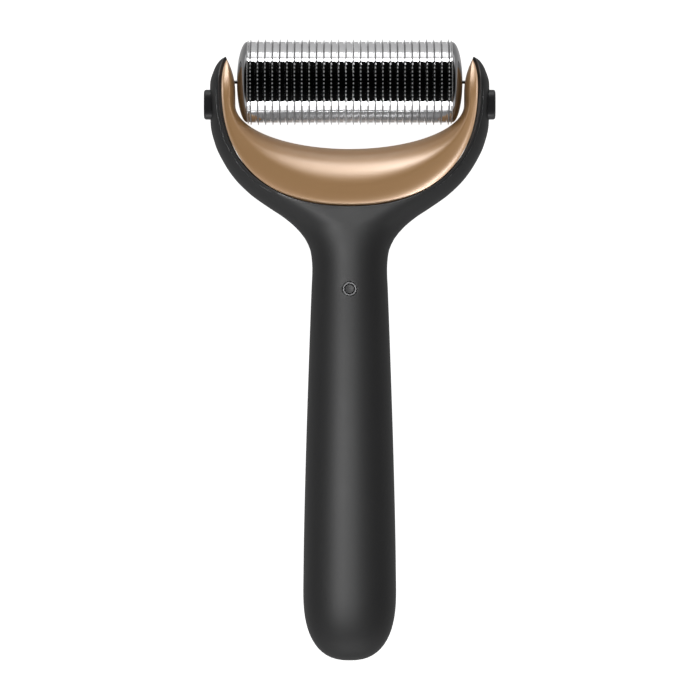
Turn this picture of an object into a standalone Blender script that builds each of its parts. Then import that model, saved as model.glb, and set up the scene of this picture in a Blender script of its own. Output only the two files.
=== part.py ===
"""Derma roller: a handle with a wide yoke that carries a turning drum of toothed discs.

The roller lies on its back. +X runs across the drum, +Y from the handle to the drum, and +Z out of
the front face. The origin is on the surface it lies on, under the middle of its length.
"""

from math import cos, pi, sin

import bmesh
import bpy
from mathutils import Matrix, Vector

MM = 0.001
GAP = 0.15 * MM  # half of the clearance between two neighbours

# The whole object
HANDLE_END_Y = -80.0 * MM
WIDEST_Y = -62.0 * MM
END_ROUNDNESS = 2.5
TIP_Y = 75.6 * MM
SPLIT_Z = 7.5 * MM
WALL = 1.8 * MM

# Half width of the casing along its length, from the widest place of the handle to the arm tips
CASING_HALF_WIDTH = (
    (-62.0, 12.0), (-50.0, 11.85), (-30.0, 11.4), (0.0, 10.45), (15.0, 9.9), (21.0, 9.67),
    (25.0, 10.0), (28.0, 11.1), (31.0, 13.3), (34.0, 16.7), (37.0, 21.2), (40.0, 25.4),
    (44.0, 29.5), (48.0, 32.3), (53.0, 34.7), (58.0, 35.85), (63.0, 36.0), (68.4, 35.95),
    (72.2, 34.9), (74.6, 33.4), (75.6, 31.94),
)
CASING_BACK = ((-62.0, -0.5), (46.0, -0.5), (52.0, 0.5), (60.0, 2.4), (67.0, 3.6), (75.6, 4.0))
CASING_FRONT = (
    (-62.0, 20.3), (-30.0, 19.9), (0.0, 18.5), (21.0, 17.2), (37.0, 17.0), (50.0, 18.0),
    (60.0, 19.3), (67.0, 20.2), (75.6, 20.4),
)
EDGE_ROUND = (
    (-62.0, 40.0), (22.0, 20.0), (30.0, 14.0), (37.0, 12.0), (50.0, 9.0), (60.0, 6.8), (75.6, 6.5),
)
SECTION_ROUNDNESS = 2.2
TIP_ROUND_FROM_Y = 64.0 * MM

# The saddle: the ellipse of its free edge, and the superellipse where it meets the casing
SADDLE_FREE = (29.44 * MM, 11.25 * MM, 63.2 * MM)
SADDLE_SEAM = (33.4 * MM, 30.1 * MM, 67.0 * MM)
SEAM_ROUNDNESS = 2.2
SADDLE_TIP_X = 31.94 * MM
TONGUE_REACH = 1.1 * MM
TONGUE_HALF_DEPTH = 0.9 * MM
TONGUE_END_ANGLE = 62.0 * pi / 180

# The drum
DRUM_Y = 69.0 * MM
DRUM_Z = 12.0 * MM
DISC_COUNT = 28
DISC_PITCH = 1.881 * MM
DISC_THICKNESS = 0.30 * MM
TOOTH_COUNT = 20
TOOTH_TIP_RADIUS = 11.0 * MM
TOOTH_ROOT_RADIUS = 10.1 * MM
DISC_HOLE_RADIUS = 8.9 * MM
SPACER_RADIUS = 10.4 * MM
SPACER_HUB_RADIUS = 8.2 * MM
SHAFT_RADIUS = 3.0 * MM
SHAFT_HALF_LENGTH = 25.8 * MM
FLANGE_START_X = 26.0 * MM
FLANGE_THICKNESS = 0.25 * MM
FLANGE_RADIUS = 10.7 * MM
CAP_BASE_X = 26.35 * MM
CAP_APEX_X = 29.05 * MM
CAP_RADIUS = 10.36 * MM

# The release latch in each arm
BUTTON_Y = 63.2 * MM
BUTTON_HALF_Y = 3.85 * MM
BUTTON_HALF_Z = 3.0 * MM
BUTTON_FACE_X = 37.5 * MM
ROCKER_Y = 66.1 * MM
ROCKER_X = 31.8 * MM
PIVOT_RADIUS = 0.45 * MM
POCKET_X = (30.2 * MM, 34.4 * MM)
POCKET_Y = (58.7 * MM, 70.6 * MM)
POCKET_Z = (8.7 * MM, 15.3 * MM)
FLANGE_X = (33.6 * MM, 34.2 * MM)
STEM_X = (32.5 * MM, 34.0 * MM)
STEM_RADIUS = 0.6 * MM
ROCKER_THICKNESS = 0.8 * MM
ROCKER_END_Y = (62.4 * MM, 70.2 * MM)
ROCKER_HALF_Z = 1.5 * MM
ROCKER_HUB_RADIUS = 0.85 * MM
ROCKER_PIN_RADIUS = 0.4 * MM
PIN_START_X = 28.4 * MM
PIN_LENGTH = 4.6 * MM
COLLAR_X = (32.6 * MM, 33.2 * MM)
COLLAR_RADIUS = 1.2 * MM
SPRING_X = (33.34 * MM, 34.28 * MM)
SPRING_RADIUS = 0.8 * MM
SPRING_WIRE_RADIUS = 0.11 * MM
SPRING_TURNS = 2.5

# The switch, seen from the front
SWITCH_Y = 15.7 * MM
RING_RADIUS = 1.75 * MM
RING_HOLE_RADIUS = 1.3 * MM
RING_HEIGHT = 2.0 * MM
PRESS_RADIUS = 1.15 * MM
PRESS_LENGTH = 3.8 * MM
PRESS_CLEARANCE = 0.45 * MM
SWITCH_SIZE = (3.5 * MM, 1.2 * MM)
BOARD_WIDTH = 10.0 * MM
BOARD_Y = (-9.0 * MM, 20.0 * MM)
BOARD_THICKNESS = 1.0 * MM

# Power and vibration
CELL_RADIUS = 4.9 * MM
CELL_LENGTH = 44.0 * MM
CELL_START = (0.0, -58.0 * MM, 9.6 * MM)
MOTOR_RADIUS = 3.0 * MM
MOTOR_LENGTH = 11.0 * MM
MOTOR_START = (0.0, 9.0 * MM, 6.3 * MM)
WEIGHT_RADIUS = 2.6 * MM
WEIGHT_Y = (21.0 * MM, 25.0 * MM)
CONTACT_X = 3.0 * MM
CONTACT_Y = -64.0 * MM
CONTACT_RADIUS = 1.0 * MM

COLOURS = {
    "soft_black": ((0.030, 0.030, 0.031), 0.55, 0.0),
    "gold": ((0.50, 0.29, 0.13), 0.28, 1.0),
    "gloss_black": ((0.012, 0.012, 0.013), 0.12, 0.0),
    "steel": ((0.62, 0.62, 0.63), 0.22, 1.0),
    "chrome": ((0.75, 0.75, 0.76), 0.08, 1.0),
    "button_black": ((0.06, 0.06, 0.065), 0.4, 0.0),
    "grey_ring": ((0.22, 0.22, 0.23), 0.35, 1.0),
    "board_green": ((0.02, 0.14, 0.06), 0.5, 0.0),
    "brass": ((0.60, 0.42, 0.16), 0.3, 1.0),
    "battery_blue": ((0.05, 0.11, 0.25), 0.4, 0.0),
    "nylon": ((0.55, 0.55, 0.52), 0.5, 0.0),
}


# ---------------------------------------------------------------- scene and small helpers


def clear_scene():
    for obj in list(bpy.data.objects):
        bpy.data.objects.remove(obj, do_unlink=True)


def new_collection(name):
    collection = bpy.data.collections.new(name)
    bpy.context.scene.collection.children.link(collection)
    return collection


def new_material(name, key):
    colour, roughness, metallic = COLOURS[key]
    material = bpy.data.materials.new(name)
    material.use_nodes = True
    shader = material.node_tree.nodes["Principled BSDF"]
    shader.inputs["Base Color"].default_value = (*colour, 1.0)
    shader.inputs["Roughness"].default_value = roughness
    shader.inputs["Metallic"].default_value = metallic
    material.diffuse_color = (*colour, 1.0)
    return material


def object_from(bm, name, collection):
    bmesh.ops.recalc_face_normals(bm, faces=bm.faces[:])
    mesh = bpy.data.meshes.new(name)
    bm.to_mesh(mesh)
    bm.free()
    obj = bpy.data.objects.new(name, mesh)
    collection.objects.link(obj)
    return obj


def as_part(bm, name, key, origin=(0.0, 0.0, 0.0)):
    """Make a visible part whose object origin is at the given point of the world."""
    bmesh.ops.translate(bm, vec=-Vector(origin), verts=bm.verts[:])
    obj = object_from(bm, name, PARTS)
    obj.location = origin
    obj.data.materials.append(new_material(name + "_finish", key))
    obj.data.shade_smooth()
    obj.data.set_sharp_from_angle(angle=0.6)
    return obj


def as_cutter(bm, name):
    obj = object_from(bm, name, CUTTERS)
    obj.hide_render = True
    obj.display_type = "WIRE"
    return obj


def add_boolean(obj, other, operation="DIFFERENCE"):
    modifier = obj.modifiers.new(other.name, "BOOLEAN")
    modifier.object = other
    modifier.operation = operation
    modifier.solver = "EXACT"


def smooth_value(points, place):
    """The value at a place of a smooth curve through (place, value) points, both in millimetres."""
    if place <= points[0][0]:
        return points[0][1]
    if place >= points[-1][0]:
        return points[-1][1]
    i = max(k for k in range(len(points) - 1) if points[k][0] <= place)
    steps = [(b[1] - a[1]) / (b[0] - a[0]) for a, b in zip(points, points[1:])]

    def slope(k):
        left = steps[max(k - 1, 0)]
        right = steps[min(k, len(steps) - 1)]
        return 2 * left * right / (left + right) if left * right > 0 else 0.0

    (x0, y0), (x1, y1) = points[i], points[i + 1]
    width = x1 - x0
    t = (place - x0) / width
    rise = (1 + 2 * t) * (1 - t) ** 2 * y0 + t * t * (3 - 2 * t) * y1
    return rise + width * (t * (1 - t) ** 2 * slope(i) - t * t * (1 - t) * slope(i + 1))


def rounded(share, roundness):
    """Height of a superellipse of size 1 at this share of its half width."""
    return max(0.0, 1.0 - min(abs(share), 1.0) ** roundness) ** (1.0 / roundness)


# ---------------------------------------------------------------- casing


def section_size(y):
    """Half width, edge rounding, middle height and half depth of the casing at y, in metres."""
    place = y / MM
    half_width = smooth_value(CASING_HALF_WIDTH, place) * MM
    back = smooth_value(CASING_BACK, place) * MM
    front = smooth_value(CASING_FRONT, place) * MM
    edge = smooth_value(EDGE_ROUND, place) * MM
    middle = (front + back) / 2
    half_depth = (front - back) / 2
    if y < WIDEST_Y:
        shrink = rounded((WIDEST_Y - y) / (WIDEST_Y - HANDLE_END_Y), END_ROUNDNESS)
        half_width *= shrink
        half_depth *= shrink
    if y > TIP_ROUND_FROM_Y:
        half_depth *= rounded((y - TIP_ROUND_FROM_Y) / (TIP_Y + 0.1 * MM - TIP_ROUND_FROM_Y), 2.2)
    return half_width, min(edge, half_width), middle, half_depth


def casing_ring(y, count, inset=0.0):
    """Points around the casing at y, drawn in by the inset, with a flat strip where it lies."""
    half_width, edge, middle, half_depth = section_size(y)
    half_width = max(half_width - inset, 0.02 * MM)
    half_depth = max(half_depth - inset, 0.02 * MM)
    edge = min(max(edge - inset, 0.5 * MM), half_width)
    power = 2.0 / SECTION_ROUNDNESS
    ring = []
    for k in range(count):
        angle = 2 * pi * (k + 0.5) / count
        across, up = cos(angle), sin(angle)
        side = 1 if across > 0 else -1
        x = side * ((half_width - edge) + edge * abs(across) ** power)
        z = middle + (1 if up > 0 else -1) * half_depth * abs(up) ** power
        ring.append(Vector((x, y, max(z, inset))))
    return ring


def loft(rings):
    """Skin a list of closed rings with the same number of points, and close both ends."""
    bm = bmesh.new()
    rows = [[bm.verts.new(point) for point in ring] for ring in rings]
    count = len(rings[0])
    for low, high in zip(rows, rows[1:]):
        for k in range(count):
            n = (k + 1) % count
            bm.faces.new((low[k], low[n], high[n], high[k]))
    bm.faces.new(rows[0][::-1])
    bm.faces.new(rows[-1])
    return bm


def casing_stations():
    """Places along the casing: close together where the outline turns."""
    end = WIDEST_Y - HANDLE_END_Y
    places = [WIDEST_Y - end * cos(pi / 2 * k / 7) for k in range(7)]
    places[0] += 0.01 * MM
    places += [y * MM for y in (-62, -42, -20, 0, 14, 21, 25, 28, 31, 34, 37, 40, 44, 48, 53, 58, 63)]
    places += [y * MM for y in (67, 70, 72.2, 74, 75.2, 75.6)]
    return places


def outer_form():
    return loft([casing_ring(y, 28) for y in casing_stations()])


def hollow_form():
    """The space inside the handle and neck."""
    places = [y * MM for y in (-76, -72, -66, -58, -40, -20, 0, 14, 21, 26, 30, 33)]
    return loft([casing_ring(y, 16, WALL) for y in places])


def box_form(x, y, z):
    """A box between two corners, each side given as (low, high) in metres."""
    bm = bmesh.new()
    bmesh.ops.create_cube(bm, size=1.0)
    sizes = [high - low for low, high in (x, y, z)]
    middle = [(high + low) / 2 for low, high in (x, y, z)]
    bmesh.ops.scale(bm, vec=sizes, verts=bm.verts[:])
    bmesh.ops.translate(bm, vec=middle, verts=bm.verts[:])
    return bm


def turned_form(profile, axis, centre, sides):
    """Spin (radius, distance) points about an axis. A profile that ends on the axis stays open there."""
    along = Vector(axis).normalized()
    across = along.orthogonal().normalized()
    centre = Vector(centre)
    bm = bmesh.new()
    corners = [bm.verts.new(centre + across * r + along * d) for r, d in profile]
    pairs = list(zip(corners, corners[1:]))
    if profile[0][0] > 0:
        pairs.append((corners[-1], corners[0]))
    edges = [bm.edges.new(pair) for pair in pairs]
    bmesh.ops.spin(
        bm, geom=corners + edges, cent=centre, axis=along, angle=2 * pi, steps=sides, use_merge=True
    )
    bmesh.ops.remove_doubles(bm, verts=bm.verts[:], dist=0.001 * MM)
    return bm


def rod_form(radius, start, axis, length, sides=12):
    """A plain round rod from its start point along an axis."""
    bm = bmesh.new()
    bmesh.ops.create_cone(
        bm, cap_ends=True, segments=sides, radius1=radius, radius2=radius, depth=length
    )
    turn = Vector((0, 0, 1)).rotation_difference(Vector(axis)).to_matrix().to_4x4()
    middle = Vector(start) + Vector(axis).normalized() * length / 2
    bmesh.ops.transform(bm, matrix=Matrix.Translation(middle) @ turn, verts=bm.verts[:])
    return bm


# ---------------------------------------------------------------- saddle


def free_edge(angle):
    half_x, half_y, middle = SADDLE_FREE
    return half_x * sin(angle), middle - half_y * cos(angle)


def seam_edge(angle, reach=0.0):
    half_x, half_y, middle = SADDLE_SEAM
    power = 2.0 / SEAM_ROUNDNESS
    x = (half_x + reach) * abs(sin(angle)) ** power
    return x * (1 if angle > 0 else -1), middle - (half_y + reach) * abs(cos(angle)) ** power


def arm_edges(share):
    """The free and the seam edge beside the drum, from the bottom of an arm (0) to its tip (1)."""
    free_y = SADDLE_FREE[2] + (TIP_Y - SADDLE_FREE[2]) * share
    seam_y = SADDLE_SEAM[2] + (TIP_Y - SADDLE_SEAM[2]) * share
    rise = max(0.0, (free_y - 66.0 * MM) / (TIP_Y - 66.0 * MM))
    free_x = SADDLE_FREE[0] + (SADDLE_TIP_X - SADDLE_FREE[0]) * rise**2.2
    seam_x = SADDLE_SEAM[0] + (SADDLE_TIP_X - SADDLE_SEAM[0]) * share**3
    return (free_x, free_y), (seam_x, seam_y)


def saddle_pairs():
    """Matching points of the free and the seam edge from the left tip round to the right tip."""
    right = [arm_edges(share) for share in (0.25, 0.5, 0.7, 0.85, 0.95, 0.985)]
    left = [((-a[0], a[1]), (-b[0], b[1])) for a, b in reversed(right)]
    steps = 24
    angles = [pi * (k / steps - 0.5) for k in range(steps + 1)]
    return left + [(free_edge(a), seam_edge(a)) for a in angles] + right


def crest_share(seam_x):
    """Where across its width the saddle is highest: past the middle in front, nearer the free edge in the arms."""
    return 0.66 - 0.24 * (seam_x / SADDLE_SEAM[0]) ** 2


def bulge(share, crest):
    """Half depth of the saddle across its width, as a share: round at the free edge, low at the seam."""
    if share < crest:
        return rounded(1 - share / crest, 1.6)
    return 1 - 0.1 * ((share - crest) / (1 - crest)) ** 5


def saddle_form():
    """Sweep the saddle's section round the yoke, a little short of the seam."""
    shares = (0.0, 0.04, 0.13, 0.28, 0.45, 0.66, 0.88, 1.0)
    rings = []
    for free, seam in saddle_pairs():
        a, b = Vector((*free, 0)), Vector((*seam, 0))
        width = (b - a).length
        b = a + (b - a) * max(0.5, 1 - 0.2 * MM / width)
        ring = []
        for side, order in ((1, shares), (-1, shares[:0:-1])):
            for share in order:
                point = a.lerp(b, share)
                _, _, middle, half_depth = section_size(point.y)
                depth = max((half_depth - 0.3 * MM) * bulge(share, crest_share(seam[0])), 0.0)
                point.z = max(middle + side * depth, 0.6 * MM)
                ring.append(point)
        rings.append(ring)
    return loft(rings)


def tongue_form(clearance):
    """The rib round the saddle's back edge that both shells grip."""
    steps = 20
    rings = []
    for k in range(steps + 1):
        angle = TONGUE_END_ANGLE * (2 * k / steps - 1)
        inner_x, inner_y = seam_edge(angle, -1.2 * MM)
        outer_x, outer_y = seam_edge(angle, TONGUE_REACH + clearance)
        low = SPLIT_Z - TONGUE_HALF_DEPTH - clearance
        high = SPLIT_Z + TONGUE_HALF_DEPTH + clearance
        rings.append(
            [Vector(p) for p in ((inner_x, inner_y, low), (outer_x, outer_y, low),
                                 (outer_x, outer_y, high), (inner_x, inner_y, high))]
        )
    return loft(rings)


def opening_form():
    """Everything inside the seam, from below the casing to above it."""
    outline = [seam for _, seam in saddle_pairs()]
    reach = 90.0 * MM
    outline = [(-SADDLE_TIP_X, reach), (-SADDLE_TIP_X, TIP_Y), *outline]
    outline += [(SADDLE_TIP_X, TIP_Y), (SADDLE_TIP_X, reach)]
    low, high = -5.0 * MM, 30.0 * MM
    return loft([[Vector((x, y, z)) for x, y in outline] for z in (low, high)])


def pocket_form(side):
    return box_form(sorted(side * x for x in POCKET_X), POCKET_Y, POCKET_Z)


def button_rings(side, places, grow=0.0):
    """The release button's rounded outline at each distance from the middle, made larger by grow."""
    rings = []
    for x in places:
        ring = []
        for k in range(20):
            angle = 2 * pi * k / 20
            across, up = cos(angle), sin(angle)
            y = BUTTON_Y + (BUTTON_HALF_Y + grow) * (1 if across > 0 else -1) * abs(across) ** 0.75
            z = DRUM_Z + (BUTTON_HALF_Z + grow) * (1 if up > 0 else -1) * abs(up) ** 0.75
            ring.append(Vector((side * x, y, z)))
        rings.append(ring)
    return rings


def make_casing_and_saddle():
    seat = as_cutter(opening_form(), "cut_yoke_opening")
    hollow = as_cutter(hollow_form(), "cut_handle_hollow")
    groove = as_cutter(tongue_form(GAP), "cut_tongue_groove")
    far = 0.1
    above = as_cutter(box_form((-far, far), (-far, far), (SPLIT_Z - GAP, far)), "cut_front_half")
    below = as_cutter(box_form((-far, far), (-far, far), (-far, SPLIT_Z + GAP)), "cut_back_half")
    front = as_part(outer_form(), "front_shell", "soft_black")
    rear = as_part(outer_form(), "rear_shell", "soft_black")
    saddle = as_part(saddle_form(), "cradle", "gold")
    tongue = as_cutter(tongue_form(0.0), "join_saddle_tongue")
    for shell, half in ((front, below), (rear, above)):
        for cutter in (hollow, seat, groove, half):
            add_boolean(shell, cutter)
    add_boolean(saddle, tongue, "UNION")
    for side, word in ((-1, "left"), (1, "right")):
        pocket = as_cutter(pocket_form(side), f"cut_{word}_pocket")
        doorway = loft(button_rings(side, (33.0 * MM, 39.0 * MM), 0.2 * MM))
        doorway = as_cutter(doorway, f"cut_{word}_button_hole")
        start = (side * 27 * MM, DRUM_Y, DRUM_Z)
        hole = rod_form(PIVOT_RADIUS + 0.1 * MM, start, (side, 0, 0), 5 * MM)
        pin_hole = as_cutter(hole, f"cut_{word}_pin_hole")
        add_boolean(front, pocket)
        add_boolean(front, doorway)
        add_boolean(saddle, pocket)
        add_boolean(saddle, pin_hole)
    well = rod_form(RING_RADIUS + GAP, (0, SWITCH_Y, 12 * MM), (0, 0, 1), 12 * MM, 20)
    add_boolean(front, as_cutter(well, "cut_switch_well"))
    for side, word in ((-1, "left"), (1, "right")):
        start = (side * CONTACT_X, CONTACT_Y, -2 * MM)
        hole = rod_form(CONTACT_RADIUS + 0.25 * MM, start, (0, 0, 1), 6 * MM)
        add_boolean(rear, as_cutter(hole, f"cut_{word}_contact_hole"))


# ---------------------------------------------------------------- drum


def add_outline(curve, radii):
    """A closed outline round the middle, with one point for each radius."""
    spline = curve.splines.new("POLY")
    spline.points.add(len(radii) - 1)
    spline.use_cyclic_u = True
    for k, radius in enumerate(radii):
        angle = 2 * pi * k / len(radii)
        spline.points[k].co = (radius * cos(angle), radius * sin(angle), 0.0, 1.0)


def disc_curve():
    """A thin toothed ring, which all the discs share."""
    curve = bpy.data.curves.new("needle_disc", "CURVE")
    curve.dimensions = "2D"
    curve.fill_mode = "BOTH"
    curve.extrude = DISC_THICKNESS / 2
    add_outline(curve, [TOOTH_TIP_RADIUS, TOOTH_ROOT_RADIUS] * TOOTH_COUNT)
    add_outline(curve, [DISC_HOLE_RADIUS] * (TOOTH_COUNT // 2))
    curve.materials.append(new_material("needle_disc_finish", "steel"))
    return curve


def disc_places():
    middle = (DISC_COUNT - 1) / 2
    return [(k - middle) * DISC_PITCH for k in range(DISC_COUNT)]


def spacer_form():
    """The row of spacer rings, one body with a groove for each disc and a bore for the shaft."""
    reach = disc_places()[-1] + DISC_PITCH / 2 - 0.55 * MM
    half_groove = DISC_THICKNESS / 2 + 0.1 * MM
    profile = [(SHAFT_RADIUS + 0.2 * MM, -reach), (SPACER_RADIUS, -reach)]
    for x in disc_places():
        near, far = x - half_groove, x + half_groove
        profile += [(SPACER_RADIUS, near), (SPACER_HUB_RADIUS, near)]
        profile += [(SPACER_HUB_RADIUS, far), (SPACER_RADIUS, far)]
    profile += [(SPACER_RADIUS, reach), (SHAFT_RADIUS + 0.2 * MM, reach)]
    return turned_form(profile, (1, 0, 0), (0, DRUM_Y, DRUM_Z), 16)


def cap_form(side):
    """A domed cap with a socket in its middle for the pivot pin."""
    socket = PIVOT_RADIUS + 0.1 * MM
    height = CAP_APEX_X - CAP_BASE_X
    profile = [(0.0, 0.0), (CAP_RADIUS, 0.0)]
    profile += [(CAP_RADIUS * cos(a), height * sin(a)) for a in (0.35, 0.65, 0.95, 1.25)]
    profile += [(socket, height), (socket, 1.3 * MM), (0.0, 1.3 * MM)]
    at = (side * CAP_BASE_X, DRUM_Y, DRUM_Z)
    return turned_form(profile, (side, 0, 0), at, 20)


def make_drum():
    centre = (0.0, DRUM_Y, DRUM_Z)
    toothed_ring = disc_curve()
    for k, x in enumerate(disc_places(), 1):
        disc = bpy.data.objects.new(f"needle_disc_{k:02d}", toothed_ring)
        disc.location = (x, DRUM_Y, DRUM_Z)
        disc.rotation_euler = (0.0, pi / 2, 0.0)
        PARTS.objects.link(disc)
    as_part(spacer_form(), "spacer_stack", "gloss_black", centre)
    start = (-SHAFT_HALF_LENGTH, DRUM_Y, DRUM_Z)
    shaft = rod_form(SHAFT_RADIUS, start, (1, 0, 0), 2 * SHAFT_HALF_LENGTH)
    as_part(shaft, "core_shaft", "chrome", centre)
    for side, word in ((-1, "left"), (1, "right")):
        hole = SHAFT_RADIUS + 0.3 * MM
        profile = [(hole, 0.0), (FLANGE_RADIUS, 0.0), (FLANGE_RADIUS, FLANGE_THICKNESS)]
        profile += [(hole, FLANGE_THICKNESS)]
        flange = turned_form(profile, (side, 0, 0), (side * FLANGE_START_X, DRUM_Y, DRUM_Z), 20)
        as_part(flange, f"{word}_flange", "chrome", centre)
        as_part(cap_form(side), f"{word}_end_cap", "chrome", centre)


# ---------------------------------------------------------------- latch in each arm


def release_button_form(side):
    """The part of the button that shows: it stands out of the arm and has a softened face."""
    rings = button_rings(side, (FLANGE_X[1] - 0.1 * MM, BUTTON_FACE_X - 0.6 * MM))
    rings += button_rings(side, (BUTTON_FACE_X,), -0.6 * MM)
    return loft(rings)


def join_forms(target, forms):
    """Add closed shapes to a part by Boolean union."""
    for word, form in forms:
        add_boolean(target, as_cutter(form, f"join_{target.name}_{word}"), "UNION")


def make_latch(side, word):
    make_release_button(side, word)
    make_rocker(side, word)
    make_pivot_pin(side, word)
    make_spring(side, word)


def make_release_button(side, word):
    """A cap outside, a flange that keeps it in, and a stem that meets the rocker."""
    centre = (side * BUTTON_FACE_X, BUTTON_Y, DRUM_Z)
    button = as_part(release_button_form(side), f"{word}_release_button", "button_black", centre)
    flange = loft(button_rings(side, FLANGE_X, 0.3 * MM))
    start = (side * STEM_X[0], BUTTON_Y, DRUM_Z)
    stem = rod_form(STEM_RADIUS, start, (side, 0, 0), STEM_X[1] - STEM_X[0])
    join_forms(button, (("flange", flange), ("stem", stem)))


def make_rocker(side, word):
    """A lever across the arm: the stem pushes one end in, and its fork pulls the pin out."""
    across = side * ROCKER_X
    centre = (across, ROCKER_Y, DRUM_Z)
    half = ROCKER_THICKNESS / 2
    depth = (DRUM_Z - ROCKER_HALF_Z, DRUM_Z + ROCKER_HALF_Z)
    plate = box_form((across - half, across + half), ROCKER_END_Y, depth)
    rocker = as_part(plate, f"{word}_latch_rocker", "nylon", centre)
    low = (across, ROCKER_Y, depth[0] + 0.1 * MM)
    hub = rod_form(ROCKER_HUB_RADIUS, low, (0, 0, 1), 2 * ROCKER_HALF_Z - 0.2 * MM)
    join_forms(rocker, (("hub", hub),))
    low = (across, ROCKER_Y, POCKET_Z[0])
    bore = rod_form(ROCKER_PIN_RADIUS + 0.1 * MM, low, (0, 0, 1), 6 * MM, 10)
    add_boolean(rocker, as_cutter(bore, f"cut_{word}_rocker_bore"))
    slot = (DRUM_Z - PIVOT_RADIUS - 0.3 * MM, DRUM_Z + PIVOT_RADIUS + 0.3 * MM)
    fork = box_form((across - MM, across + MM), (68.0 * MM, 71.0 * MM), slot)
    add_boolean(rocker, as_cutter(fork, f"cut_{word}_rocker_fork"))
    low = (across, ROCKER_Y, POCKET_Z[0] + 0.3 * MM)
    peg = rod_form(ROCKER_PIN_RADIUS, low, (0, 0, 1), 6.0 * MM, 10)
    as_part(peg, f"{word}_rocker_pin", "chrome", centre)


def make_pivot_pin(side, word):
    """The pin that the drum turns on, with the collar that the rocker pulls."""
    start = (side * PIN_START_X, DRUM_Y, DRUM_Z)
    rod = rod_form(PIVOT_RADIUS, start, (side, 0, 0), PIN_LENGTH)
    pin = as_part(rod, f"{word}_pivot_pin", "chrome", start)
    near = (side * COLLAR_X[0], DRUM_Y, DRUM_Z)
    collar = rod_form(COLLAR_RADIUS, near, (side, 0, 0), COLLAR_X[1] - COLLAR_X[0])
    join_forms(pin, (("collar", collar),))


def make_spring(side, word):
    """A coil between the pin's collar and the arm's outer wall."""
    curve = bpy.data.curves.new(f"{word}_latch_spring", "CURVE")
    curve.dimensions = "3D"
    curve.bevel_depth = SPRING_WIRE_RADIUS
    curve.bevel_resolution = 1
    curve.use_fill_caps = True
    spline = curve.splines.new("POLY")
    count = 21
    spline.points.add(count - 1)
    first = SPRING_X[0] + SPRING_WIRE_RADIUS
    last = SPRING_X[1] - SPRING_WIRE_RADIUS
    for k in range(count):
        share = k / (count - 1)
        angle = 2 * pi * SPRING_TURNS * share
        x = side * (first + (last - first) * share)
        y = DRUM_Y + SPRING_RADIUS * cos(angle)
        spline.points[k].co = (x, y, DRUM_Z + SPRING_RADIUS * sin(angle), 1.0)
    obj = bpy.data.objects.new(curve.name, curve)
    PARTS.objects.link(obj)
    curve.materials.append(new_material(curve.name + "_finish", "chrome"))


# ---------------------------------------------------------------- inside the handle


def casing_top(y):
    _, _, middle, half_depth = section_size(y)
    return middle + half_depth


def make_switch():
    """The front button with its ring, and the tact switch and board under it."""
    top = casing_top(SWITCH_Y)
    chamfer = 0.15 * MM
    ring = [(RING_HOLE_RADIUS, 0.0), (RING_RADIUS, 0.0), (RING_RADIUS, RING_HEIGHT - chamfer)]
    ring += [(RING_RADIUS - chamfer, RING_HEIGHT), (RING_HOLE_RADIUS, RING_HEIGHT)]
    base = (0, SWITCH_Y, top - RING_HEIGHT + 0.05 * MM)
    as_part(turned_form(ring, (0, 0, 1), base, 20), "button_ring", "grey_ring", base)
    press = [(0.0, 0.0), (PRESS_RADIUS, 0.0), (PRESS_RADIUS, PRESS_LENGTH - chamfer)]
    press += [(PRESS_RADIUS - chamfer, PRESS_LENGTH), (0.0, PRESS_LENGTH)]
    base = (0, SWITCH_Y, top - PRESS_LENGTH)
    as_part(turned_form(press, (0, 0, 1), base, 16), "power_button", "button_black", base)
    width, height = SWITCH_SIZE
    under = base[2] - PRESS_CLEARANCE
    place = (SWITCH_Y - width / 2, SWITCH_Y + width / 2)
    switch = box_form((-width / 2, width / 2), place, (under - height, under))
    as_part(switch, "tact_switch", "nylon", (0, SWITCH_Y, under))
    board_top = under - height - GAP
    across = (-BOARD_WIDTH / 2, BOARD_WIDTH / 2)
    board = box_form(across, BOARD_Y, (board_top - BOARD_THICKNESS, board_top))
    as_part(board, "circuit_board", "board_green", (0, 0, board_top))


def can_profile(radius, length, nub_radius, nub_length):
    """A round can with a smaller nub at its far end."""
    profile = [(0.0, 0.0), (radius, 0.0), (radius, length), (nub_radius, length)]
    return profile + [(nub_radius, length + nub_length), (0.0, length + nub_length)]


def make_power():
    """Battery, vibration motor with its weight, and the two charging contacts."""
    can = can_profile(CELL_RADIUS, CELL_LENGTH - MM, 1.8 * MM, MM)
    cell = turned_form(can, (0, 1, 0), CELL_START, 20)
    as_part(cell, "battery_cell", "battery_blue", CELL_START)
    can = can_profile(MOTOR_RADIUS, MOTOR_LENGTH, 1.2 * MM, 0.6 * MM)
    motor = turned_form(can, (0, 1, 0), MOTOR_START, 16)
    as_part(motor, "vibration_motor", "chrome", MOTOR_START)
    height = MOTOR_START[2]
    rings = []
    for y in WEIGHT_Y:
        arc = [pi * k / 8 for k in range(9)]
        ring = [Vector((WEIGHT_RADIUS * cos(a), y, height - WEIGHT_RADIUS * sin(a))) for a in arc]
        ring += [Vector((x, y, height + 0.6 * MM)) for x in (-0.7 * MM, 0.7 * MM)]
        rings.append(ring)
    as_part(loft(rings), "motor_weight", "brass", (0, WEIGHT_Y[0], height))
    for side, word in ((-1, "left"), (1, "right")):
        base = (side * CONTACT_X, CONTACT_Y, 0.1 * MM)
        pad = rod_form(CONTACT_RADIUS, base, (0, 0, 1), 2.4 * MM)
        as_part(pad, f"{word}_charge_contact", "brass", base)


clear_scene()
PARTS = new_collection("derma_roller")
CUTTERS = new_collection("cutters")
make_casing_and_saddle()
make_drum()
for direction, name in ((-1, "left"), (1, "right")):
    make_latch(direction, name)
make_switch()
make_power()
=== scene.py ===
# %% [markdown]
# # A derma roller, dressed piece by piece
# The tool lies on its back: handle towards -Y, drum towards +Y, front face up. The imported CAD
# model is the frame. It settles where each part sits and how it moves, and this lesson makes the
# fine surfaces and the finishes that ride on it.

# %% Load the frame
from math import cos, pi, sin

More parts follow.
